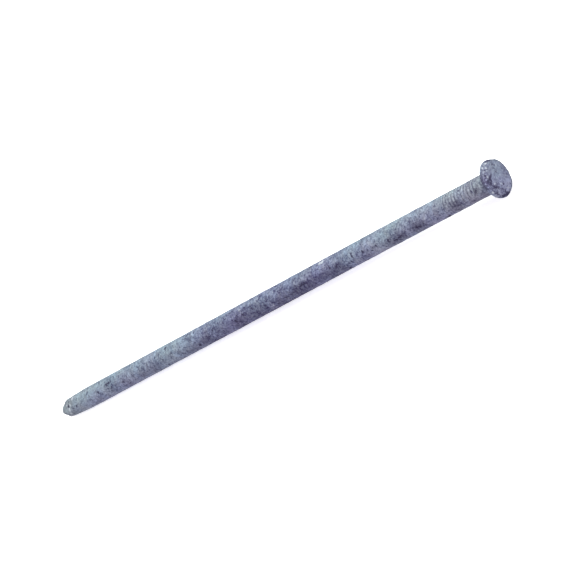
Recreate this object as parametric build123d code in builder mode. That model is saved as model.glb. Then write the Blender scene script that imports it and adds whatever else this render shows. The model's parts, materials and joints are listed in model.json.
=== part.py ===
"""Round-head timber spike, 12 in long on a 3/8 in shank, forged steel with a hot-dip zinc coat.

Millimetres. The shank lies along X with its point towards -X and its head towards +X.
+Z is up, and the origin is the centre of the flat bearing face under the head.
"""

import os

from build123d import *

# Driving dimensions, all measured over the zinc unless they say steel
LENGTH = 304.8  # under the head to the end of the point
STEEL_DIAMETER = 9.525
ZINC_THICKNESS = 0.09
HEAD_DIAMETER = 17.8
HEAD_THICKNESS = 2.9
FACE_EDGE_RADIUS = 1.4
BACK_EDGE_RADIUS = 1.0
NECK_FILLET = 1.6

# The point: a slight taper, a short blunt nose, and two flats pinched into it by the dies
TAPER_LENGTH = 20.0
NOSE_LENGTH = 4.8
NOSE_DIAMETER = 8.4
TIP_DIAMETER = 2.8
TIP_ROUNDING = 0.9
NOSE_ROUNDING = 3.0
TAPER_ROUNDING = 60.0
FLAT_SLOPE = 14.5  # degrees between a flat and the axis
FLAT_START = 1.25  # from the axis to a flat, at the end of the point
FLAT_TURN = 15.0  # degrees from +Z towards -Y, for the first flat

# Teeth marks of the heading dies, on two arcs of the shank below the head
MARK_COUNT = 11
MARK_PITCH = 1.86
MARK_WIDTH = 0.95
MARK_DEPTH = 0.14
FIRST_MARK = 7.8  # from the bearing face
MARK_ARC = 150.0  # degrees covered by each of the two dies

SHANK_RADIUS = STEEL_DIAMETER / 2 + ZINC_THICKNESS
HEAD_RADIUS = HEAD_DIAMETER / 2
BELOW_AXIS = 5.0  # how far the outline runs past the axis before it is trimmed there


def spike_outline(inset):
    """Half section of the spike, moved inwards by the inset: 0 for the zinc, its thickness for the steel."""
    tip = (-LENGTH, TIP_DIAMETER / 2)
    nose = (-LENGTH + NOSE_LENGTH, NOSE_DIAMETER / 2)
    taper = (-LENGTH + TAPER_LENGTH, SHANK_RADIUS)
    neck = (0, SHANK_RADIUS)
    back_rim = (0, HEAD_RADIUS)
    face_rim = (HEAD_THICKNESS, HEAD_RADIUS)
    corners = [
        (tip, TIP_ROUNDING - inset),
        (nose, NOSE_ROUNDING - inset),
        (taper, TAPER_ROUNDING - inset),
        (neck, NECK_FILLET + inset),
        (back_rim, BACK_EDGE_RADIUS - inset),
        (face_rim, FACE_EDGE_RADIUS - inset),
    ]
    with BuildSketch(Plane.XZ) as outline:
        with BuildLine():
            Polyline(
                (-LENGTH, -BELOW_AXIS),
                *[point for point, _ in corners],
                (HEAD_THICKNESS, -BELOW_AXIS),
                close=True,
            )
        make_face()
        if inset:
            offset(amount=-inset, kind=Kind.INTERSECTION, mode=Mode.REPLACE)
        for point, radius in corners:
            fillet(outline.vertices().sort_by_distance(point)[0], radius=radius)
        with Locations((0, -LENGTH / 2)):
            Rectangle(3 * LENGTH, LENGTH, mode=Mode.SUBTRACT)
    return outline.sketch


def die_flat(turn, inset):
    """Plane of one pinched flat of the point, facing away from the metal that stays."""
    outward = Vector(0, 0, 1).rotate(Axis.X, turn)
    normal = outward.rotate(Axis(origin=(0, 0, 0), direction=outward.cross(Vector(1, 0, 0))), -FLAT_SLOPE)
    start = Vector(-LENGTH, 0, 0) + outward * FLAT_START
    return Plane(origin=start - normal * inset, z_dir=normal)


def mark_teeth(turn, inset):
    """Section of one die's row of teeth, where it starts to turn about the shank."""
    with BuildSketch(Plane.XZ.rotated((turn, 0, 0))) as teeth:
        for index in range(MARK_COUNT):
            middle = -FIRST_MARK - (index + 0.5) * MARK_PITCH
            with Locations((middle, SHANK_RADIUS - inset)):
                Ellipse(MARK_WIDTH / 2, MARK_DEPTH)
    return teeth.sketch


def spike_solid(inset):
    """The whole spike, moved inwards by the inset."""
    with BuildPart() as body:
        revolve(spike_outline(inset), axis=Axis.X)
        for turn in (FLAT_TURN, FLAT_TURN + 180):
            split(bisect_by=die_flat(turn, inset), keep=Keep.BOTTOM)
        for turn in (0, 180):
            revolve(
                mark_teeth(turn - MARK_ARC / 2, inset),
                axis=Axis.X,
                revolution_arc=MARK_ARC,
                mode=Mode.SUBTRACT,
            )
    return body.part


os.makedirs("parts", exist_ok=True)

# The forging: head, shank and point in one piece of steel
with BuildPart() as steel_spike:
    add(spike_solid(ZINC_THICKNESS))
steel_spike.part.label = "steel_spike"
export_step(steel_spike.part, "parts/steel_spike.step")

# The zinc it was dipped in: a closed skin all round the forging
with BuildPart() as zinc_coating:
    add(spike_solid(0))
    add(steel_spike.part, mode=Mode.SUBTRACT)
zinc_coating.part.label = "zinc_coating"
export_step(zinc_coating.part, "parts/zinc_coating.step")
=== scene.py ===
"""Round-head timber spike with a hot-dip zinc coat, lying on a pale floor under soft studio light.

The spike is built in millimetres in the CAD model's frame, with its shank along X and its head
towards +X, and turned into metres when its meshes are made. A turn is an angle about the shank,
in degrees from +Z towards -Y.
"""

import json
import math

import bpy
import numpy as np
from mathutils import Matrix, Vector


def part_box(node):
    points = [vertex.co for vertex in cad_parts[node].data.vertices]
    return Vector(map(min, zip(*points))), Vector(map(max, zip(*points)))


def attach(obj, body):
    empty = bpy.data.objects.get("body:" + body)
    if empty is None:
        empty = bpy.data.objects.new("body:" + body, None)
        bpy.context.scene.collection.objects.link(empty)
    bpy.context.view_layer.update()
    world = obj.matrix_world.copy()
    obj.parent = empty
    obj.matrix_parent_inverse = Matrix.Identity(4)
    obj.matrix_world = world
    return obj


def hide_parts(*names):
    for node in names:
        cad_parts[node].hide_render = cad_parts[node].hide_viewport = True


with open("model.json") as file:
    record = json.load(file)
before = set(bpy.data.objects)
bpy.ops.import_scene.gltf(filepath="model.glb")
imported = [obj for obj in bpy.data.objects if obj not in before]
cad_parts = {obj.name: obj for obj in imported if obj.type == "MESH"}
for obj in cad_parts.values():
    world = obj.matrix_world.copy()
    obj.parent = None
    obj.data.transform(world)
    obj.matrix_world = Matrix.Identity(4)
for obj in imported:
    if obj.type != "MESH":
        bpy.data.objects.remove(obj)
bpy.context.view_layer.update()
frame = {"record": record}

MM = 0.001

# Sizes from the frame, in millimetres
coat_low, coat_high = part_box("zinc_coating")
core_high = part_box("steel_spike")[1]
LENGTH = -coat_low.x / MM
HEAD_THICKNESS = coat_high.x / MM
HEAD_RADIUS = coat_high.z / MM
ZINC_THICKNESS = (coat_high.z - core_high.z) / MM
SHANK_RADIUS = next(
    mount["dims"]["r_mm"] for mount in frame["record"]["mounts"] if mount["name"] == "shank"
)

# The outline of the spike over its zinc
NECK_FILLET = 1.7
BACK_EDGE_RADIUS = 1.1
FACE_EDGE_RADIUS = 1.25
CROWN = 0.12
TAPER_LENGTH = 20.0
TAPER_ROUNDING = 60.0
NOSE_LENGTH = 4.8
NOSE_RADIUS = 4.2
NOSE_ROUNDING = 3.2
TIP_RADIUS = 1.4
TIP_ROUNDING = 0.9

# The flats that the dies pinch into the point
FLAT_SLOPE = math.radians(14.5)
FLAT_START = 1.2  # from the axis to a flat, at the end of the point
FLAT_TURNS = (15.0, 195.0)
FLAT_SOFTNESS = 0.22
FLAT_FILL = 0.3  # how much of the softness is put back, so that a flat stays in its plane
FLAT_WIDEST = 0.05  # a flat cuts nothing where the cosine of the angle away from it is less
UNCUT = 50.0  # a distance from the axis where there is nothing to cut

# Flats hammered on the head's edge: (turn, where each starts from the axis, its drop at the rim)
HEAD_FLATS = (
    (-14.0, 6.4, 1.7),
    (38.0, 7.6, 0.9),
    (82.0, 7.3, 1.1),
    (140.0, 8.0, 0.5),
    (292.0, 7.9, 0.6),
)
HEAD_FLAT_SOFTNESS = 0.10
HEAD_FLAT_HEIGHTS = (0.5, 1.0)  # above the bearing face, between which a flat's cut sets in
HEAD_FLAT_SEEN = (0.05, 0.3)  # depths of cut between which a place comes to look flat

# Where the rim is struck out of round: (turn, how far from the axis it is left)
RIM_FLATS = (
    (292.0, 8.45),
    (75.0, 8.75),
    (160.0, 8.7),
    (350.0, 8.75),
)
RIM_FLAT_SOFTNESS = 0.15
RIM_FLAT_BLEND = (0.8, 0.9)  # parts of that distance between which a flat's cut sets in
NEAR_AXIS = 0.1  # the least distance from the axis that is divided by

# Near the head the shank leans out of line this way, and the head is forged off centre the other way
BEND = 0.25
BEND_START = -75.0
BEND_TURN = 130.0
BEND_CURVE = 0.7
HEAD_OFFSET = 0.12

# Broad tone of the zinc along the shank: (x, tone), dark below 0 and pale above
TONES = (
    (-304, 1.7),
    (-285, 1.15),
    (-252, 0.4),
    (-232, 0.8),
    (-214, 0.9),
    (-203, 0.5),
    (-188, -0.4),
    (-158, -0.75),
    (-128, -0.7),
    (-96, -0.55),
    (-84, 0.2),
    (-73, 0.5),
    (-50, 0.05),
    (-30, 0.25),
    (-10, 0.1),
    (3, 0.3),
)

# How much greyer than blue the zinc is along the shank: (x, greyness), from 0 to 1
GREYS = (
    (-304, 1.0),
    (-290, 0.75),
    (-270, 0.1),
    (-245, 0.1),
    (-200, 0.0),
    (-90, 0.0),
    (-70, 0.45),
    (-52, 0.15),
    (-30, 0.6),
    (-8, 1.0),
    (0, 0.5),
    (1, 0.1),
)

# How the tone goes: its middle, how far the zones carry it, and the waves in it as (size, height, seed)
TONE_MIDDLE = 0.70
TONE_SPREAD = 0.33
TONE_WAVES = ((9, 0.13, 41), (4.2, 0.10, 42))
FINE_TONE_WAVES = ((2.0, 0.10, 43),)
CALM_X = (-45, -25)  # between these the larger waves die down towards the head
CALM = 0.65  # by this much

# How the hue goes: its middle, how far the zones and the turn carry it, and its waves
HUE_MIDDLE = 0.52
HUE_SPREAD = 0.30
HUE_LEAN = 0.30
HUE_WAVES = ((14, 0.10, 44),)

# The tone and the hue vary round the shank from this turn, as painted light: tealer, and paler where the
# zinc is dark, on the side that faces the key light, and purpler on the side away from it. Their waves are
# drawn out along it
LIT_SIDE_TURN = -50.0
ALONG_SHANK = (0.6, 1, 1)

# The rings that the gripping dies leave under the head, on two arcs with their middles at these turns
RING_PITCH = 1.86
FIRST_RING = 7.9
LAST_RING = 27.0
RING_HEIGHT = 0.065
RING_BLUNTNESS = 0.8
RING_WANDER = 0.12
RING_TURNS = (8.0, 188.0)
RING_REACH = 78.0
RING_FADE = 0.45  # part of the reach over which a ring keeps its full height

# Lumps in the zinc, each kind as (size, height, seed): all over, on the head's rim, and on the point
LUMPS = ((9, 0.022, 1), (3.2, 0.018, 2), (1.3, 0.012, 3))
RIM_LUMPS = ((7, 0.07, 11), (3.0, 0.05, 12))
NOSE_LUMPS = ((2.4, 0.05, 21), (1.1, 0.03, 22))

# Other relief of the zinc, in millimetres
RUN_HEIGHT = 0.05
HOLLOW_DEPTH = 0.045
DENT_HEIGHT = 0.05
FACE_LUMP_HEIGHT = 0.035
TURNING_PITCH = 1.15
TURNING_HEIGHT = 0.012
PIT_DEPTH = 0.085
BEAD_HEIGHT = 0.11

# How far the outlines of the pits, beads and stains wander
PIT_RAGGEDNESS = 0.22
BEAD_RAGGEDNESS = 0.12
STAIN_RAGGEDNESS = 0.75

# Painted shade on the face's edge, a dark line where the rounded edge turns away from the light, is
# darkest at this turn, on the side opposite the flats
EDGE_SHADE_TURN = 220.0

# How finely the surface is divided, with the distance between rows on the shank, the rings and the point
COLUMNS = 96
ROWS = 960
SHANK_SPACING = 0.47
RING_SPACING = 0.17
POINT_SPACING = 0.2
CLOSER_FOR_RINGS = (-34, -29)  # x between which the rows draw together for the rings
CLOSER_FOR_POINT = (40, 12)  # distances from the end of the point between which they do so for the point
FILLET_STEPS = 17

# The camera, aimed at the target from this azimuth (0 looks along +Y) and elevation, in degrees.
# Its clipping distances are in metres.
CAMERA_AZIMUTH = 55.07
CAMERA_ELEVATION = 34.30
CAMERA_ROLL = 67.25
CAMERA_TARGET = (-143.25, 6.2, -5.8)
CAMERA_DISTANCE = 1594.0
CAMERA_LENS = 217.35
CAMERA_SENSOR = 36.0
CAMERA_CLIP = (0.05, 50)

# Soft boxes, with their middles, sides and target in metres: (name, middle, side, watts, tint)
LIGHT_TARGET = (-0.15, 0, 0)
LIGHTS = (
    ("key", (0.20, 0.69, 0.95), 0.6, 13.2, (0.93, 1.01, 0.915)),
    ("face_fill", (1.30, -0.15, 0.55), 0.8, 12.0, (1.0, 0.98, 0.97)),
)

# How bright the surroundings are to the camera, as a light, and in reflections
SEEN_STRENGTH = 1.0
DIFFUSE_STRENGTH = 0.92
REFLECTED_STRENGTH = 0.14

# The floor: half its side in metres, where it touches the rim, and how far the rim and the nose stand
# out past their radius there, in millimetres
FLOOR_HALF_SIDE = 6.0
RIM_TOUCH_X = 1.5
RIM_LUMP = 0.05
NOSE_LUMP = 0.02


# ------------------------------------------------------------------ small helpers


def smooth(low, high, value):
    """0 below low, 1 above high, and a smooth step between them."""
    step = np.clip((value - low) / (high - low), 0, 1)
    return step * step * (3 - 2 * step)


def away(turns, middle):
    """How many degrees the turns are away from the middle, either way round."""
    return np.abs((turns - middle + 180) % 360 - 180)


def towards(turns, middle):
    """Cosine of the angle between the turns and the middle."""
    return np.cos(np.radians(turns - middle))


def read(table, x):
    """The table's value at x, in a straight line from row to row."""
    return np.interp(x, *zip(*table))


def between(low, high, part):
    return low + (high - low) * part


def soft_excess(gap, softness):
    """How far the gap is above 0, with a bend of about this softness where it passes 0."""
    return (gap + np.sqrt(gap**2 + softness**2)) / 2


def waves(points, size, seed, count=28):
    """Smooth random field with bumps of about this size, spread about 0 by about 1."""
    draw = np.random.default_rng(seed)
    heading = draw.normal(size=(count, 3))
    heading /= np.linalg.norm(heading, axis=1)[:, None]
    pace = 2 * math.pi / size * draw.uniform(0.6, 1.6, count)
    phase = draw.uniform(0, 2 * math.pi, count)
    return np.cos(points @ (heading * pace[:, None]).T + phase).sum(-1) / math.sqrt(count / 2)


def layered(points, kinds):
    """Sum of the waves of these kinds, each given as (size, height, seed)."""
    return sum(height * waves(points, size, seed) for size, height, seed in kinds)


def at(x, radius, turn):
    angle = math.radians(turn)
    return np.array((x, -radius * math.sin(angle), radius * math.cos(angle)))


def on_shank(x, turn):
    return at(x, SHANK_RADIUS, turn)


def edge_limit(out, start, drop):
    """Height of a flat on the head's edge, this far out from the axis towards the flat."""
    return HEAD_THICKNESS - drop * (out - start) / (HEAD_RADIUS - start)


def on_bevel(radius, turn):
    """A point on the hammered edge of the face."""
    x = HEAD_THICKNESS
    for middle, start, drop in HEAD_FLATS:
        out = radius * math.cos(math.radians(turn - middle))
        x = min(x, edge_limit(out, start, drop))
    return at(x, radius, turn)


def on_face(y, z):
    return np.array((HEAD_THICKNESS, y, z))


def nearness(points, start, end, width):
    """1 close to the line from start to end, falling to 0 at the width on either side of it."""
    line = end - start
    reach = np.clip((points - start) @ line / max(line @ line, 1e-9), 0, 1)
    gap = np.linalg.norm(points - (start + reach[..., None] * line), axis=-1)
    return 1 - smooth(0.15, 1, gap / width)


# ------------------------------------------------------------------ the spike's surface


def rounded_outline(corners):
    """Points along a half section, from corners given as (x, distance from the axis, rounding)."""
    points = [np.array(corners[0][:2])]
    for before, (x, radius, rounding), after in zip(corners, corners[1:], corners[2:]):
        corner = np.array((x, radius))
        arrive = corner - before[:2]
        arrive = arrive / np.linalg.norm(arrive)
        leave = after[:2] - corner
        leave = leave / np.linalg.norm(leave)
        turn = math.atan2(arrive[0] * leave[1] - arrive[1] * leave[0], arrive @ leave)
        start = corner - arrive * rounding * abs(math.tan(turn / 2))
        side = np.array((-arrive[1], arrive[0])) * math.copysign(1, turn)
        centre = start + side * rounding
        spoke = start - centre
        for part in np.linspace(0, turn, FILLET_STEPS):
            cos, sin = math.cos(part), math.sin(part)
            points.append(centre + (cos * spoke[0] - sin * spoke[1], sin * spoke[0] + cos * spoke[1]))
    points.append(np.array(corners[-1][:2]))
    return np.array(points)


def row_spacing(x):
    """About how far it is in millimetres from one row of the mesh to the next, at x."""
    to_rings = smooth(*CLOSER_FOR_RINGS, x)
    to_point = smooth(-LENGTH + CLOSER_FOR_POINT[0], -LENGTH + CLOSER_FOR_POINT[1], x)
    finer_rings = (RING_SPACING - SHANK_SPACING) * to_rings
    finer_point = (POINT_SPACING - SHANK_SPACING) * to_point
    return SHANK_SPACING + finer_rings + finer_point


def rows_of(outline):
    """The outline as ROWS points, close together where row_spacing is small."""
    lengths = np.linalg.norm(np.diff(outline, axis=0), axis=1)
    along = np.concatenate(([0], np.cumsum(lengths)))
    fine = np.linspace(0, along[-1], 8 * ROWS)
    x = np.interp(fine, along, outline[:, 0])
    radius = np.interp(fine, along, outline[:, 1])
    weight = np.concatenate(([0], np.cumsum(1 / row_spacing(x[1:]))))
    place = np.interp(np.linspace(0, weight[-1], ROWS + 2)[1:-1], weight, fine)
    return np.interp(place, fine, x), np.interp(place, fine, radius)


def spike_rows():
    """Rows of the whole spike, from its point to the middle of its face."""
    return rows_of(
        rounded_outline(
            [
                (-LENGTH, 0, 0),
                (-LENGTH, TIP_RADIUS, TIP_ROUNDING),
                (-LENGTH + NOSE_LENGTH, NOSE_RADIUS, NOSE_ROUNDING),
                (-LENGTH + TAPER_LENGTH, SHANK_RADIUS, TAPER_ROUNDING),
                (0, SHANK_RADIUS, NECK_FILLET),
                (0, HEAD_RADIUS, BACK_EDGE_RADIUS),
                (HEAD_THICKNESS - CROWN, HEAD_RADIUS, FACE_EDGE_RADIUS),
                (HEAD_THICKNESS, 0, 0),
            ]
        )
    )


def pinched(x, radius, turns):
    """The radius where the flats of the point cut it back, with a soft edge round each flat."""
    for middle in FLAT_TURNS:
        facing = towards(turns, middle)
        depth = FLAT_START + (x + LENGTH) * math.tan(FLAT_SLOPE)
        limit = np.where(facing > FLAT_WIDEST, depth / np.maximum(facing, FLAT_WIDEST), UNCUT)
        mean = (radius + limit) / 2
        radius = mean - np.sqrt(((radius - limit) / 2) ** 2 + FLAT_SOFTNESS**2) + FLAT_SOFTNESS * FLAT_FILL
        radius = np.maximum(radius, 0)
    return radius


def hammered(x, radius, turns):
    """The rim struck out of round, its edge hammered flat, and how flat each place is."""
    for middle, reach in RIM_FLATS:
        out = np.maximum(radius * towards(turns, middle), NEAR_AXIS)
        shift = soft_excess(out - reach, RIM_FLAT_SOFTNESS)
        struck = radius * (1 - shift / out * smooth(*RIM_FLAT_BLEND, out / reach))
        radius = np.where(out > RIM_FLAT_BLEND[0] * reach, struck, radius)
    flat = np.zeros(x.shape)
    low, high = HEAD_FLAT_HEIGHTS
    for middle, start, drop in HEAD_FLATS:
        out = radius * towards(turns, middle)
        shift = soft_excess(x - edge_limit(out, start, drop), HEAD_FLAT_SOFTNESS)
        shift = np.where(x > low, shift * smooth(low, high, x) * smooth(0, 1, out - start + 1), 0)
        x = x - shift
        flat = np.maximum(flat, smooth(*HEAD_FLAT_SEEN, shift))
    return x, radius, flat


def ring_relief(points, turns):
    """Height of the gripper rings, and where the surface lies in them: -1 in a valley, 1 on a ridge."""
    x = points[..., 0] + RING_WANDER * waves(points, 14, 31)
    phase = (x + FIRST_RING) / RING_PITCH
    crest = np.cos(2 * math.pi * phase)
    crest = np.sign(crest) * np.abs(crest) ** RING_BLUNTNESS
    strip = smooth(-LAST_RING - 2.5, -LAST_RING + 1, x) * smooth(-FIRST_RING + 2.6, -FIRST_RING, x)
    reach = 0
    for middle in RING_TURNS:
        reach = reach + 1 - smooth(RING_FADE, 1, away(turns, middle) / RING_REACH)
    struck = np.clip(0.85 + 0.3 * waves(points, 5, 32), 0.25, 1.25)
    reach = reach * strip * struck
    return RING_HEIGHT * crest * reach, crest * reach


def tone_of(points, turns):
    """How pale the zinc is, from about 0 where it is darkest to about 1 where it is palest."""
    zone = read(TONES, points[..., 0])
    lean = 0.02 - 0.16 * np.minimum(zone, 0.4)
    calm = 1 - CALM * smooth(*CALM_X, points[..., 0])
    # painted light: the lean with the turn makes the side facing the key light paler where the zinc is
    # dark
    tone = TONE_MIDDLE + TONE_SPREAD * zone + lean * towards(turns, LIT_SIDE_TURN)
    tone = tone + calm * layered(points * ALONG_SHANK, TONE_WAVES)
    return tone + layered(points, FINE_TONE_WAVES)


def hue_of(points, turns):
    """Which way the zinc's colour leans in broad patches, from 0 for purple to 1 for teal."""
    zone = read(TONES, points[..., 0])
    # painted light: the lean with the turn makes the side facing the key light tealer and the side away
    # from it purpler
    hue = HUE_MIDDLE + HUE_SPREAD * zone + HUE_LEAN * towards(turns, LIT_SIDE_TURN)
    return hue + layered(points * ALONG_SHANK, HUE_WAVES)


def marked(points, marks):
    """How deep in one of these marks each point lies, from 0 to 1."""
    depth = np.zeros(points.shape[:-1])
    flat, deep = points.reshape(-1, 3), depth.reshape(-1)
    for start, end, width, strength in marks:
        low, high = min(start[0], end[0]) - width, max(start[0], end[0]) + width
        near = np.flatnonzero((flat[:, 0] > low) & (flat[:, 0] < high))
        deep[near] = np.maximum(deep[near], strength * nearness(flat[near], start, end, width))
    return depth


def surface():
    """The coat's surface: points, outward normals and the fields that its colour follows."""
    turns = np.arange(COLUMNS) * 360 / COLUMNS
    x, radius = (np.repeat(row[:, None], COLUMNS, 1) for row in spike_rows())
    turns = np.broadcast_to(turns, x.shape)
    radius = pinched(x, radius, turns)
    x, radius, flat = hammered(x, radius, turns)
    angle = np.radians(turns)
    points = np.stack((x, -radius * np.sin(angle), radius * np.cos(angle)), -1)
    normals = grid_normals(points)

    # the zinc is lumpy all over, with runs drawn out along the shank and small hollows
    height = layered(points, LUMPS)
    height = height + RUN_HEIGHT * smooth(0.9, 2.2, waves(points * (0.35, 1, 1), 2.6, 4))
    height = height - HOLLOW_DEPTH * smooth(1.0, 2.4, waves(points, 1.9, 5))
    rings, crest = ring_relief(points, turns)
    height = height + rings

    # the head's rim is out of round and lumpy, and its face keeps faint turning marks
    on_head = smooth(0.1, 0.8, x)
    side = smooth(0.6 * HEAD_RADIUS, HEAD_RADIUS, radius) * on_head
    height = height + side * layered(points, RIM_LUMPS)
    height = height + side * DENT_HEIGHT * np.tanh(3 * waves(points, 2.2, 13))
    face = smooth(0.8, 0.97, normals[..., 0]) * on_head
    turning = np.cos(2 * math.pi * radius / TURNING_PITCH + 0.8 * waves(points, 6, 14))
    height = height + face * (FACE_LUMP_HEIGHT * waves(points, 5, 15) + TURNING_HEIGHT * turning)
    # painted shade: a dark ring along the rounded edge of the face, darkest on the side opposite the flats
    edge_shade = smooth(0.82, 0.90, radius / HEAD_RADIUS) * smooth(0.4, 0.6, x / HEAD_THICKNESS)
    edge_shade = edge_shade * (0.5 + 0.5 * towards(turns, EDGE_SHADE_TURN))

    # the point is left rough where the dies cut the wire off
    on_nose = smooth(-LENGTH + 14, -LENGTH + 6, x)
    height = height + on_nose * layered(points, NOSE_LUMPS)

    # the marks' outlines are ragged
    ragged = np.stack([waves(points, 1.1, seed) for seed in (51, 52, 53)], -1)
    pits = marked(points + PIT_RAGGEDNESS * ragged, PITS)
    beads = marked(points + BEAD_RAGGEDNESS * ragged, BEADS)
    stains = marked(points + STAIN_RAGGEDNESS * ragged, STAINS)
    height = height - PIT_DEPTH * pits + BEAD_HEIGHT * beads
    fields = {
        "tone": tone_of(points, turns),
        "hue": hue_of(points, turns),
        "grey": read(GREYS, x),
        "edge_shade": edge_shade,
        "pits": pits,
        "beads": beads,
        "stains": stains,
        "crest": np.clip(crest, -1, 1),
        "nose": on_nose,
        "flat": flat,
        "turning": face * turning,
        "face": face,
    }

    # the shank leans near the head, and the head is off centre
    points = points + normals * height[..., None]
    x = points[..., 0]
    neck = smooth(-NECK_FILLET - 0.5, 0.5, x)
    lean = BEND * smooth(BEND_START, 0, x) ** BEND_CURVE * (1 - neck) - HEAD_OFFSET * neck
    bend = math.radians(BEND_TURN)
    points[..., 1] -= lean * math.sin(bend)
    points[..., 2] += lean * math.cos(bend)
    return points, grid_normals(points), fields


def grid_normals(points):
    """Outward normals of a grid of rows and columns that closes round its columns."""
    along = np.gradient(points, axis=0)
    around = np.roll(points, -1, 1) - np.roll(points, 1, 1)
    normals = np.cross(around, along)
    normals /= np.maximum(np.linalg.norm(normals, axis=-1, keepdims=True), 1e-9)
    return normals


def make_piece(name, points, fields):
    """A closed mesh through a grid of points, with a pole at each end, in metres."""
    rows, columns = points.shape[:2]
    count = rows * columns
    poles = (points[0].mean(0), points[-1].mean(0))
    vertices = np.concatenate((points.reshape(-1, 3), poles)) * MM
    near = np.arange(count).reshape(rows, columns)
    far = np.roll(near, -1, 1)
    quads = np.stack((near[:-1], far[:-1], far[1:], near[1:]), -1).reshape(-1, 4)
    start_fan = np.stack((np.full(columns, count), far[0], near[0]), -1)
    end_fan = np.stack((np.full(columns, count + 1), near[-1], far[-1]), -1)
    faces = quads.tolist() + start_fan.tolist() + end_fan.tolist()
    mesh = bpy.data.meshes.new(name)
    mesh.from_pydata(vertices.tolist(), [], faces)
    for field, values in fields.items():
        flat = values.reshape(-1)
        ends = (values[0].mean(), values[-1].mean())
        layer = mesh.attributes.new(field, "FLOAT", "POINT")
        layer.data.foreach_set("value", np.concatenate((flat, ends)).astype(np.float32))
    mesh.shade_smooth()
    mesh.validate()
    piece = bpy.data.objects.new(name, mesh)
    bpy.context.scene.collection.objects.link(piece)
    return piece


# ------------------------------------------------------------------ marks in the zinc


def dot(point, width, depth):
    return point, point, width, depth


def shank_dots(marks):
    """Round marks on the shank, each given as (x, turn, width, depth)."""
    return [dot(on_shank(x, turn), width, depth) for x, turn, width, depth in marks]


def scattered(seed, count, widths, depths):
    """Round marks at random places all over the shank, and a fortieth as many on the face."""
    draw = np.random.default_rng(seed)
    places = []
    for x, turn, spread, depth in draw.random((count, 4)):
        places.append((on_shank(-LENGTH * x, 360 * turn), spread, depth))
    for x, turn, spread, depth in draw.random((count // 40, 4)):
        angle, reach = 2 * math.pi * turn, HEAD_RADIUS * math.sqrt(x)
        places.append((on_face(reach * math.cos(angle), reach * math.sin(angle)), spread, depth))
    return [
        dot(place, between(*widths, spread**2), between(*depths, depth))
        for place, spread, depth in places
    ]


# Dark pits and scars, chosen where the coat is most damaged
PITS = shank_dots(
    [
        (-293.8, 47, 1.0, 0.9),
        (-293.7, 73, 0.9, 0.8),
        (-290.7, 46, 1.3, 1.0),
        (-272.5, 40, 1.3, 1.0),
        (-262.7, 48, 1.2, 1.0),
        (-254.3, 52, 1.3, 1.0),
        (-241.0, 18, 1.1, 0.6),
        (-228.0, 17, 1.3, 0.7),
        (-219.7, -2, 1.2, 1.0),
        (-216.3, 37, 1.0, 0.8),
        (-198.0, 77, 1.4, 0.8),
        (-185.5, 40, 1.1, 0.7),
        (-169.5, 52, 1.4, 1.0),
        (-167.7, 30, 1.0, 0.7),
        (-157.0, 33, 1.6, 0.7),
        (-126.5, 35, 1.1, 0.7),
        (-103.0, 40, 1.0, 0.8),
        (-99.0, 48, 1.1, 0.8),
        (-89.5, 67, 1.3, 0.7),
        (-81.3, 45, 1.3, 1.0),
        (-72.5, 52, 1.1, 0.8),
        (-65.0, 60, 1.2, 0.8),
        (-54.5, 60, 1.4, 0.8),
        (-49.0, 62, 1.2, 0.8),
        (-47.0, 66, 1.4, 0.9),
        (-45.2, 72, 1.2, 0.9),
        (-42.5, 68, 1.0, 0.8),
        (-30.0, 112, 1.8, 1.0),
        (-22.5, 64, 1.1, 0.6),
        (-20.5, 69, 1.1, 0.5),
        (-7.7, 48, 1.3, 1.0),
    ]
)
PITS += [
    (on_shank(-266.0, 25), on_shank(-263.0, 15), 1.0, 0.9),
    (on_shank(-136.0, 65), on_shank(-126.0, 64), 0.8, 0.6),
    (on_shank(-123.5, 48), on_shank(-121.0, 49), 1.1, 1.0),
    (on_shank(-87.8, 25), on_shank(-88.2, 50), 0.8, 0.9),
    (on_shank(-62.0, 75), on_shank(-56.0, 70), 1.0, 0.8),
    (on_face(5.0, 2.8), on_face(4.6, 1.4), 0.6, 0.7),
    dot(on_face(5.6, 3.2), 0.8, 0.6),
    (on_face(-0.6, 4.2), on_face(-2.6, 4.8), 0.9, 0.9),
    (on_face(-2.6, 4.8), on_face(-5.0, 6.1), 1.0, 0.9),
    (on_face(-3.6, 3.9), on_face(-5.4, 4.3), 1.0, 1.0),
    (on_face(-4.4, -0.3), on_face(-6.5, 2.5), 1.0, 0.7),
    dot(on_face(-2.3, -3.2), 0.9, 0.8),
    dot(on_face(-5.4, -0.8), 0.9, 0.8),
    dot(on_face(-6.0, -4.9), 1.5, 0.9),
    (at(2.5, 8.6, 146), at(2.4, 8.7, 110), 1.2, 0.95),
    (at(2.4, 8.7, -52), at(2.6, 8.6, -40), 1.2, 1.0),
    dot(on_face(6.9, -4.1), 0.9, 0.6),
    dot(on_face(1.9, 6.4), 0.9, 0.9),
    dot(on_bevel(7.6, -5), 0.8, 0.8),
    dot(on_bevel(8.7, -20), 0.8, 0.7),
    dot(on_bevel(8.4, -4), 0.7, 0.7),
    dot(on_bevel(7.5, -27), 0.7, 0.6),
    dot(on_bevel(8.6, 60), 0.8, 0.7),
    (on_bevel(8.4, 80), on_bevel(8.3, 96), 0.7, 0.7),
    (at(HEAD_THICKNESS, 7.9, -37), at(HEAD_THICKNESS, 6.4, -15), 0.5, 0.6),
    (on_bevel(7.9, 17), on_bevel(8.5, 33), 0.9, 0.9),
    dot(at(1.6, 8.9, 52), 1.2, 0.9),
    dot(at(-297.2, 3.3, 20), 1.7, 1.0),
    dot(at(-294.2, 4.2, 22), 0.9, 0.9),
    dot(at(-296.7, 4.2, 92), 1.0, 0.8),
    dot(at(-299.3, 3.8, 77), 1.0, 0.8),
    dot(at(-296.6, 4.1, -10), 1.0, 0.8),
]
PITS += scattered(7, 560, (0.45, 1.3), (0.25, 0.9))

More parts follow.
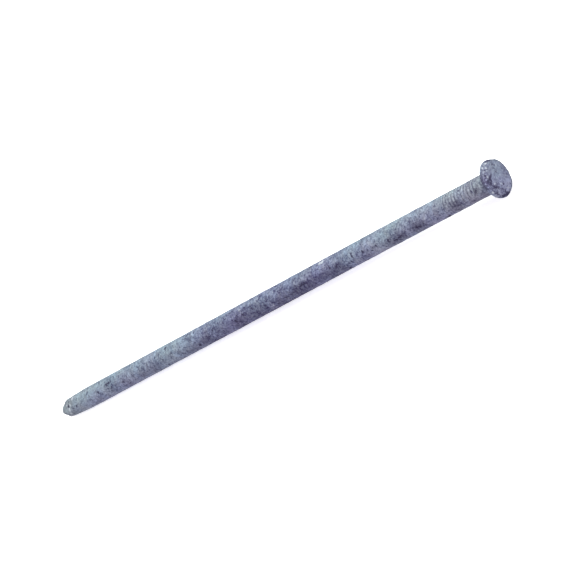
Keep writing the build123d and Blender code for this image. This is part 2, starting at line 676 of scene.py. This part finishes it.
# Bright beads of clean zinc
BEADS = shank_dots(
    [
        (-108.6, -13, 1.3, 1.0),
        (-107.0, -13, 1.6, 1.0),
        (-165.0, 8, 1.2, 0.8),
        (-40.3, 45, 1.0, 0.8),
        (-144.5, 72, 1.0, 0.8),
    ]
)
BEADS += [
    dot(at(-292.9, 4.5, -13), 1.6, 1.0),
    dot(at(-295.6, 3.6, 24), 1.4, 1.0),
    dot(at(-298.9, 3.0, 2), 1.1, 1.0),
    dot(at(-296.7, 4.0, 53), 1.4, 1.0),
    dot(at(-297.4, 4.1, 76), 1.3, 1.0),
    dot(at(-298.5, 3.8, 89), 1.2, 1.0),
    (at(-295.6, 3.6, 24), at(-297.4, 4.1, 78), 1.0, 0.7),
    (at(-298.9, 3.0, 2), at(-298.4, 3.6, 50), 0.9, 0.5),
    (on_bevel(7.9, -34), on_bevel(8.2, -30), 0.75, 0.8),
    dot(on_bevel(7.1, -15), 0.9, 0.75),
    dot(on_bevel(8.3, -12), 0.75, 0.9),
    dot(on_bevel(7.8, 3), 0.8, 0.9),
    dot(on_bevel(8.0, -21), 0.6, 0.7),
    dot(on_bevel(8.6, 73), 0.9, 1.0),
    (at(1.3, 8.9, 84), at(1.5, 8.8, 98), 0.9, 0.6),
    dot(on_face(-2.6, 6.2), 1.3, 0.6),
    dot(on_face(-4.2, 2.2), 1.1, 0.7),
    dot(on_face(-2.9, -6.0), 0.9, 0.6),
]
BEADS += scattered(8, 200, (0.5, 1.2), (0.15, 0.6))

# Purple stains, softer and broader than the pits, and one painted shade in the crease where the shank
# meets the head
STAINS = [
    (on_face(-6.4, 3.4), on_face(-4.4, -0.3), 2.2, 0.9),
    (on_face(-5.4, -3.6), on_face(-6.3, -6.2), 2.8, 1.0),
    (at(2.2, 8.7, 130), at(2.2, 8.7, 112), 1.8, 0.9),
    (at(0.4, 8.9, 28), on_bevel(8.2, 38), 3.0, 1.0),
    (at(0.8, 8.9, 52), on_bevel(7.4, 52), 2.4, 1.0),
    (on_bevel(7.8, 42), on_bevel(6.8, 70), 2.0, 1.0),
    (at(1.6, 8.8, 12), at(1.6, 8.8, 32), 2.6, 0.9),
    # painted shade: darkens the crease where the shank meets the back of the head
    (at(-1.2, 5.4, 45), at(0.0, 8.4, 38), 2.6, 1.0),
    (on_shank(-49.0, 60), on_shank(-43.0, 70), 4.0, 0.68),
    (on_shank(-182.0, 55), on_shank(-150.0, 62), 4.5, 0.42),
    (on_shank(-141.0, 70), on_shank(-98.0, 60), 4.0, 0.5),
    (on_shank(-240.0, 75), on_shank(-228.0, 65), 3.5, 0.42),
    (on_shank(-205.0, 80), on_shank(-190.0, 60), 4.0, 0.5),
    (on_shank(-66.0, 72), on_shank(-56.0, 70), 3.0, 0.5),
    (on_shank(-23.0, 66), on_shank(-19.0, 64), 3.0, 0.7),
    (on_shank(-70.0, 210), on_shank(-35.0, 190), 5.0, 0.6),
    (on_shank(-230.0, 250), on_shank(-180.0, 235), 5.0, 0.6),
    (on_face(3.5, -5.0), on_face(5.5, -3.0), 2.4, 0.6),
]


# ------------------------------------------------------------------ materials


class Nodes:
    """The node tree of a material or a world, with short calls to add and link its nodes."""

    def __init__(self, owner, shader):
        owner.use_nodes = True
        self.tree = owner.node_tree
        self.shader = self.tree.nodes[shader]

    def add(self, kind, **settings):
        node = self.tree.nodes.new(kind)
        for name, value in settings.items():
            setattr(node, name, value)
        return node

    def feed(self, socket, value):
        if isinstance(value, bpy.types.NodeSocket):
            self.tree.links.new(value, socket)
        else:
            socket.default_value = value

    def noise(self, size, detail=3.0, rough=0.55, stretch=(1, 1, 1), seed=0.0, distortion=0.0):
        """Noise from 0 to 1 with features of this size in millimetres, times the stretch on each axis."""
        place = self.add("ShaderNodeTexCoord").outputs["Object"]
        mapping = self.add("ShaderNodeMapping")
        self.feed(mapping.inputs["Vector"], place)
        mapping.inputs["Scale"].default_value = [1 / (MM * size * part) for part in stretch]
        mapping.inputs["Location"].default_value = (seed, seed * 1.7, seed * 0.6)
        texture = self.add("ShaderNodeTexNoise")
        self.feed(texture.inputs["Vector"], mapping.outputs["Vector"])
        texture.inputs["Scale"].default_value = 1.0
        texture.inputs["Detail"].default_value = detail
        texture.inputs["Roughness"].default_value = rough
        texture.inputs["Distortion"].default_value = distortion
        return texture.outputs["Fac"]

    def field(self, name):
        """One of the fields that the mesh carries."""
        return self.add("ShaderNodeAttribute", attribute_name=name).outputs["Fac"]

    def math(self, operation, *values):
        node = self.add("ShaderNodeMath", operation=operation)
        for socket, value in zip(node.inputs, values):
            self.feed(socket, value)
        return node.outputs["Value"]

    def ramp(self, value, low, high, bottom=0.0, top=1.0):
        """The value carried from low..high to bottom..top, with a smooth step."""
        node = self.add("ShaderNodeMapRange", interpolation_type="SMOOTHSTEP")
        for name, setting in (
            ("Value", value),
            ("From Min", low),
            ("From Max", high),
            ("To Min", bottom),
            ("To Max", top),
        ):
            self.feed(node.inputs[name], setting)
        return node.outputs["Result"]

    def mix(self, factor, one, other, blend="MIX"):
        """Colour mix: one where the factor is 0, other where it is 1."""
        node = self.add("ShaderNodeMixRGB", blend_type=blend)
        self.feed(node.inputs["Fac"], factor)
        self.feed(node.inputs["Color1"], one)
        self.feed(node.inputs["Color2"], other)
        return node.outputs["Color"]

    def tint(self, base, factor, one, other):
        """The base multiplied by a tint: one where the factor is 0, other where it is 1."""
        return self.mix(1.0, base, self.mix(factor, one, other), "MULTIPLY")

    def coat(self, base, cover, strength, paint):
        """The base with paint over it, at this strength where the cover is 1."""
        return self.mix(self.math("MULTIPLY", cover, strength), base, paint)

    def bump(self, height, strength, distance):
        """Bump the shader's normal by the height, with this distance in millimetres."""
        node = self.add("ShaderNodeBump")
        node.inputs["Strength"].default_value = strength
        node.inputs["Distance"].default_value = distance * MM
        self.feed(node.inputs["Height"], height)
        self.feed(self.shader.inputs["Normal"], node.outputs["Normal"])


def colour(red, green, blue):
    return (red, green, blue, 1.0)


WHITE = colour(1, 1, 1)
SKY_TINT = colour(0.985, 0.95, 1.045)

# The zinc's own colour runs from one of these to the other
OXIDISED = colour(0.053, 0.051, 0.128)
CLEAN = colour(0.482, 0.578, 0.695)

# Tints over it, in pairs, the last one paired with white
COOL_TINT = colour(0.97, 1.0, 1.03)
WARM_TINT = colour(1.03, 1.0, 0.97)
PURPLE_TINT = colour(1.05, 0.90, 1.10)
TEAL_TINT = colour(0.97, 1.05, 0.98)
GREY_TINT = colour(1.09, 1.0, 0.92)

# Colours laid over it, in the order they are used
FACE_PAINT = colour(0.222, 0.232, 0.330)
FLAT_PAINT = colour(0.125, 0.120, 0.190)
WORN_PAINT = colour(0.058, 0.055, 0.115)
SPARK_PAINT = colour(0.50, 0.56, 0.62)
RIDGE_PAINT = colour(0.44, 0.47, 0.51)
VALLEY_PAINT = colour(0.115, 0.12, 0.155)
TURNING_PAINT = colour(0.20, 0.22, 0.40)
NOSE_PAINT = colour(0.37, 0.42, 0.44)
# painted shade for the face's rounded edge
EDGE_SHADE_PAINT = colour(0.10, 0.115, 0.15)
STAIN_PAINT = colour(0.062, 0.055, 0.122)
PIT_PAINT = colour(0.045, 0.040, 0.095)
BEAD_PAINT = colour(0.75, 0.81, 0.86)

# How strongly each noise shows in the zinc's own colour
MOTTLE = 1.4
SPECKLE = 2.1
GRAIN = 2.3
STREAKS = 0.7
FACE_CALM = 0.55  # how much of the mottle and speckle is missing on the face


def zinc_material():
    """Weathered hot-dip zinc: pale teal where clean, purple-grey where oxidised, dark in its pits, with
    painted light and shade: tealer towards the key light, and darker in the neck crease and along the
    face's edge.
    """
    material = bpy.data.materials.new("hot_dip_zinc")
    nodes = Nodes(material, "Principled BSDF")
    mottle = nodes.noise(3.0, 2.0, 0.6, (0.8, 1, 1), seed=8.3, distortion=0.8)
    speckle = nodes.noise(1.25, 1.5, 0.6, (0.9, 1, 1), seed=14.2, distortion=1.0)
    grain = nodes.noise(0.8, 1.0, 0.6, seed=1.9)
    streaks = nodes.noise(0.9, 1.0, 0.5, (9, 1, 1), seed=5.3)
    warmth = nodes.noise(9.0, 2.0, 0.5, (0.6, 1, 1), seed=23.7, distortion=0.8)
    wear = nodes.noise(1.5, 2.0, 0.5, (0.8, 1, 1), seed=12.4, distortion=0.9)
    sparkle = nodes.noise(1.3, 2.0, 0.5, (0.8, 1, 1), seed=17.7)
    polish = nodes.noise(1.6, 2.0, 0.5, seed=21.3)

    # the mottling is calmer on the hammered face
    face = nodes.field("face")
    rise = nodes.math("MULTIPLY_ADD", speckle, SPECKLE, -(MOTTLE + SPECKLE) / 2)
    rise = nodes.math("MULTIPLY_ADD", mottle, MOTTLE, rise)
    rise = nodes.math("MULTIPLY", rise, nodes.math("MULTIPLY_ADD", face, -FACE_CALM, 1.0))
    rise = nodes.math("ADD", rise, nodes.math("MULTIPLY_ADD", grain, GRAIN, -GRAIN / 2))
    rise = nodes.math("ADD", rise, nodes.math("MULTIPLY_ADD", streaks, STREAKS, -STREAKS / 2))
    clean = nodes.math("MULTIPLY_ADD", nodes.math("ADD", rise, nodes.field("tone")), 0.50, 0.18)
    base = nodes.mix(clean, OXIDISED, CLEAN)

    base = nodes.tint(base, nodes.ramp(warmth, 0.36, 0.64), COOL_TINT, WARM_TINT)
    base = nodes.tint(base, nodes.field("hue"), PURPLE_TINT, TEAL_TINT)
    base = nodes.tint(base, nodes.field("grey"), WHITE, GREY_TINT)
    base = nodes.coat(base, face, 0.45, FACE_PAINT)
    base = nodes.coat(base, nodes.field("flat"), 0.5, FLAT_PAINT)
    worn = nodes.ramp(wear, 0.57, 0.70)
    base = nodes.coat(base, worn, 0.6, WORN_PAINT)
    base = nodes.coat(base, nodes.ramp(sparkle, 0.60, 0.72), 0.55, SPARK_PAINT)

    crest = nodes.field("crest")
    base = nodes.mix(nodes.ramp(crest, 0.4, 0.95, 0, 0.55), base, RIDGE_PAINT)
    base = nodes.mix(nodes.ramp(crest, -0.1, -0.9, 0, 0.6), base, VALLEY_PAINT)
    base = nodes.mix(nodes.ramp(nodes.field("turning"), -1, 1, 0, 0.16), base, TURNING_PAINT)

    # the marks come last, and the stains dull the beads that lie in them
    stains = nodes.field("stains")
    pits = nodes.ramp(nodes.field("pits"), 0.15, 0.75)
    beads = nodes.ramp(nodes.field("beads"), 0.2, 0.9)
    base = nodes.coat(base, nodes.field("nose"), 0.5, NOSE_PAINT)
    # painted shade along the face's rounded edge
    base = nodes.coat(base, nodes.field("edge_shade"), 0.75, EDGE_SHADE_PAINT)
    base = nodes.coat(base, stains, 0.88, STAIN_PAINT)
    base = nodes.coat(base, pits, 0.85, PIT_PAINT)
    base = nodes.coat(base, beads, nodes.math("MULTIPLY_ADD", stains, -0.75, 0.8), BEAD_PAINT)
    nodes.feed(nodes.shader.inputs["Base Color"], base)

    nodes.feed(nodes.shader.inputs["Roughness"], nodes.ramp(polish, 0.3, 0.7, 0.42, 0.62))
    nodes.shader.inputs["Metallic"].default_value = 0.45

    relief = nodes.math("MULTIPLY_ADD", grain, 0.5, speckle)
    relief = nodes.math("SUBTRACT", relief, nodes.math("MULTIPLY", worn, 0.5))
    nodes.bump(relief, 0.6, 0.12)
    return material


def steel_material():
    """Bare forged steel under the zinc, dull grey with drawing lines and a little scale."""
    material = bpy.data.materials.new("forged_steel")
    nodes = Nodes(material, "Principled BSDF")
    lines = nodes.noise(0.7, 2.0, 0.5, (40, 1, 1), seed=2.2)
    scale = nodes.ramp(nodes.noise(5.0, 3.0, 0.6, seed=6.6), 0.45, 0.65)
    base = nodes.mix(lines, colour(0.24, 0.24, 0.255), colour(0.34, 0.34, 0.35))
    base = nodes.coat(base, scale, 0.6, colour(0.10, 0.10, 0.115))
    nodes.feed(nodes.shader.inputs["Base Color"], base)
    nodes.feed(nodes.shader.inputs["Roughness"], nodes.ramp(scale, 0, 1, 0.38, 0.6))
    nodes.shader.inputs["Metallic"].default_value = 0.9
    nodes.bump(lines, 0.3, 0.05)
    return material


def floor_material():
    """Pale matt studio floor with a trace of mottling, which glows a little to stay near white."""
    material = bpy.data.materials.new("studio_floor")
    nodes = Nodes(material, "Principled BSDF")
    shade = nodes.noise(400, 2.0, 0.5, seed=4.0)
    base = nodes.mix(shade, colour(0.9, 0.9, 0.9), colour(0.93, 0.93, 0.93))
    nodes.feed(nodes.shader.inputs["Base Color"], base)
    nodes.shader.inputs["Roughness"].default_value = 0.9
    nodes.shader.inputs["Specular IOR Level"].default_value = 0.1
    nodes.shader.inputs["Emission Color"].default_value = WHITE
    nodes.shader.inputs["Emission Strength"].default_value = 0.5
    return material


# ------------------------------------------------------------------ the pieces

coat_points, coat_normals, coat_fields = surface()
zinc_skin = make_piece("zinc_skin", coat_points, coat_fields)
zinc_skin.data.materials.append(zinc_material())
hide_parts("zinc_coating")
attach(zinc_skin, "root")

# The forging has the coat's shape, on a grid half as fine. It lies two thicknesses of zinc further in,
# which keeps its coarser grid inside the coat, except at a few points in the crease on the rim.
core_points = (coat_points - coat_normals * 2 * ZINC_THICKNESS)[::2, ::2]
steel_forging = make_piece("steel_forging", core_points, {})
steel_forging.data.materials.append(steel_material())
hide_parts("steel_spike")
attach(steel_forging, "root")


# ------------------------------------------------------------------ floor, light and camera


def make_floor():
    """A plane under the spike that its rim and its point both touch."""
    rim_drop = HEAD_RADIUS + RIM_LUMP
    nose_x, nose_drop = -LENGTH + NOSE_LENGTH, NOSE_RADIUS + NOSE_LUMP
    slope = math.atan2(rim_drop - nose_drop, RIM_TOUCH_X - nose_x)
    side = FLOOR_HALF_SIDE
    mesh = bpy.data.meshes.new("studio_floor")
    corners = [(-side, -side, 0), (side, -side, 0), (side, side, 0), (-side, side, 0)]
    mesh.from_pydata(corners, [], [(0, 1, 2, 3)])
    mesh.materials.append(floor_material())
    floor = bpy.data.objects.new("studio_floor", mesh)
    floor.location = (RIM_TOUCH_X * MM, 0, -rim_drop * MM)
    floor.rotation_euler = (0, slope, 0)
    bpy.context.scene.collection.objects.link(floor)
    floor.visible_diffuse = False
    floor.visible_glossy = False


def soft_light(name, place, side, power, tint):
    """A square soft box at the place, facing the spike."""
    lamp = bpy.data.lights.new(name, "AREA")
    lamp.shape = "SQUARE"
    lamp.size = side
    lamp.energy = power
    lamp.color = tint
    light = bpy.data.objects.new(name, lamp)
    light.location = place
    facing = Vector(LIGHT_TARGET) - Vector(place)
    light.rotation_euler = facing.to_track_quat("-Z", "Y").to_euler()
    bpy.context.scene.collection.objects.link(light)


def make_world():
    """Even pale surroundings: white to look at, dimmer and a little lilac as a light."""
    world = bpy.data.worlds.new("studio")
    bpy.context.scene.world = world
    nodes = Nodes(world, "Background")
    rays = nodes.add("ShaderNodeLightPath").outputs
    seen, reflected = rays["Is Camera Ray"], rays["Is Glossy Ray"]
    strength = nodes.math("MULTIPLY_ADD", seen, SEEN_STRENGTH - DIFFUSE_STRENGTH, DIFFUSE_STRENGTH)
    strength = nodes.math("MULTIPLY_ADD", reflected, REFLECTED_STRENGTH - DIFFUSE_STRENGTH, strength)
    nodes.feed(nodes.shader.inputs["Strength"], strength)
    nodes.feed(nodes.shader.inputs["Color"], nodes.mix(seen, SKY_TINT, WHITE))


def make_camera():
    """Camera beyond the head, above it and to the -Y side, and rolled to its own right."""
    elevation, roll = math.radians(CAMERA_ELEVATION), math.radians(CAMERA_ROLL)
    azimuth = math.radians(CAMERA_AZIMUTH)
    back = Vector(
        (
            math.cos(elevation) * math.sin(azimuth),
            -math.cos(elevation) * math.cos(azimuth),
            math.sin(elevation),
        )
    )
    level_right = Vector((math.cos(azimuth), math.sin(azimuth), 0))
    level_up = back.cross(level_right)
    right = level_right * math.cos(roll) - level_up * math.sin(roll)
    up = level_right * math.sin(roll) + level_up * math.cos(roll)
    data = bpy.data.cameras.new("camera")
    data.lens = CAMERA_LENS
    data.sensor_width = CAMERA_SENSOR
    data.clip_start, data.clip_end = CAMERA_CLIP
    camera = bpy.data.objects.new("camera", data)
    turn = Matrix((right, up, back)).transposed().to_4x4()
    place = Vector(CAMERA_TARGET) * MM + back * CAMERA_DISTANCE * MM
    camera.matrix_world = Matrix.Translation(place) @ turn
    bpy.context.scene.collection.objects.link(camera)
    bpy.context.scene.camera = camera


make_floor()
make_world()
for light in LIGHTS:
    soft_light(*light)
make_camera()
bpy.context.scene.view_settings.view_transform = "Standard"
